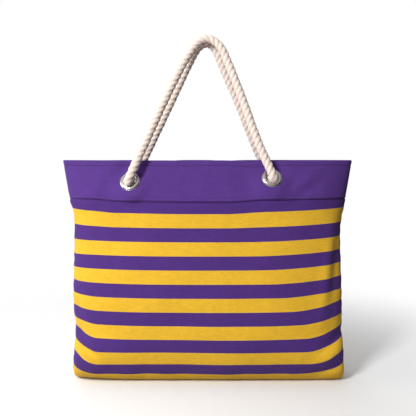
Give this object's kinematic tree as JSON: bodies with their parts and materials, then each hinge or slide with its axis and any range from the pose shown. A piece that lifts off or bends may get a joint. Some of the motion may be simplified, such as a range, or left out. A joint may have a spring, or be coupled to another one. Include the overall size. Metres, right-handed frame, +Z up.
{
  "type": "beach bag",
  "caption": "Wide striped canvas beach tote with a folded top band, metal grommets, stopper knots and two rope handles that swing over the front and the back.",
  "frame": {"origin": "middle of the flat base, on the surface the bag stands on", "axes": "+Z up towards the handles, +X along the bag's width, -Y is the front"},
  "size_m": [0.5472, 0.152, 0.6498],
  "materials": {
    "striped_canvas": "golden yellow and purple striped cotton canvas, fine cross-rib weave, matte",
    "purple_canvas": "plain purple cotton canvas, matte",
    "cotton_rope": "natural three-strand twisted cotton rope",
    "nickel": "nickel-plated pressed metal",
    "binding_tape": "purple cotton seam tape"
  },
  "bodies": {
    "bag": {"front_panel": "striped_canvas", "back_panel": "striped_canvas", "front_band": "purple_canvas", "back_band": "purple_canvas", "base_panel": "purple_canvas", "base_seam_binding": "binding_tape", "left_seam_binding": "binding_tape", "right_seam_binding": "binding_tape", "front_left_grommet": "nickel", "front_left_washer": "nickel", "front_left_knot": "cotton_rope", "front_right_grommet": "nickel", "front_right_washer": "nickel", "front_right_knot": "cotton_rope", "back_left_grommet": "nickel", "back_left_washer": "nickel", "back_left_knot": "cotton_rope", "back_right_grommet": "nickel", "back_right_washer": "nickel", "back_right_knot": "cotton_rope"},
    "front_handle": {"front_handle_rope": "cotton_rope"},
    "back_handle": {"back_handle_rope": "cotton_rope"}
  },
  "joints": [
    {"name": "front_handle_hinge", "type": "hinge", "parent": "bag", "child": "front_handle", "pos_m": [-0.14296, -0.0546, 0.38559], "axis": [0.9997, 0.0028, 0.0236], "range_deg": [0, 170]},
    {"name": "back_handle_hinge", "type": "hinge", "parent": "bag", "child": "back_handle", "pos_m": [-0.14296, 0.0546, 0.38559], "axis": [-0.9997, 0.0028, -0.0236], "range_deg": [0, 170]}
  ]
}
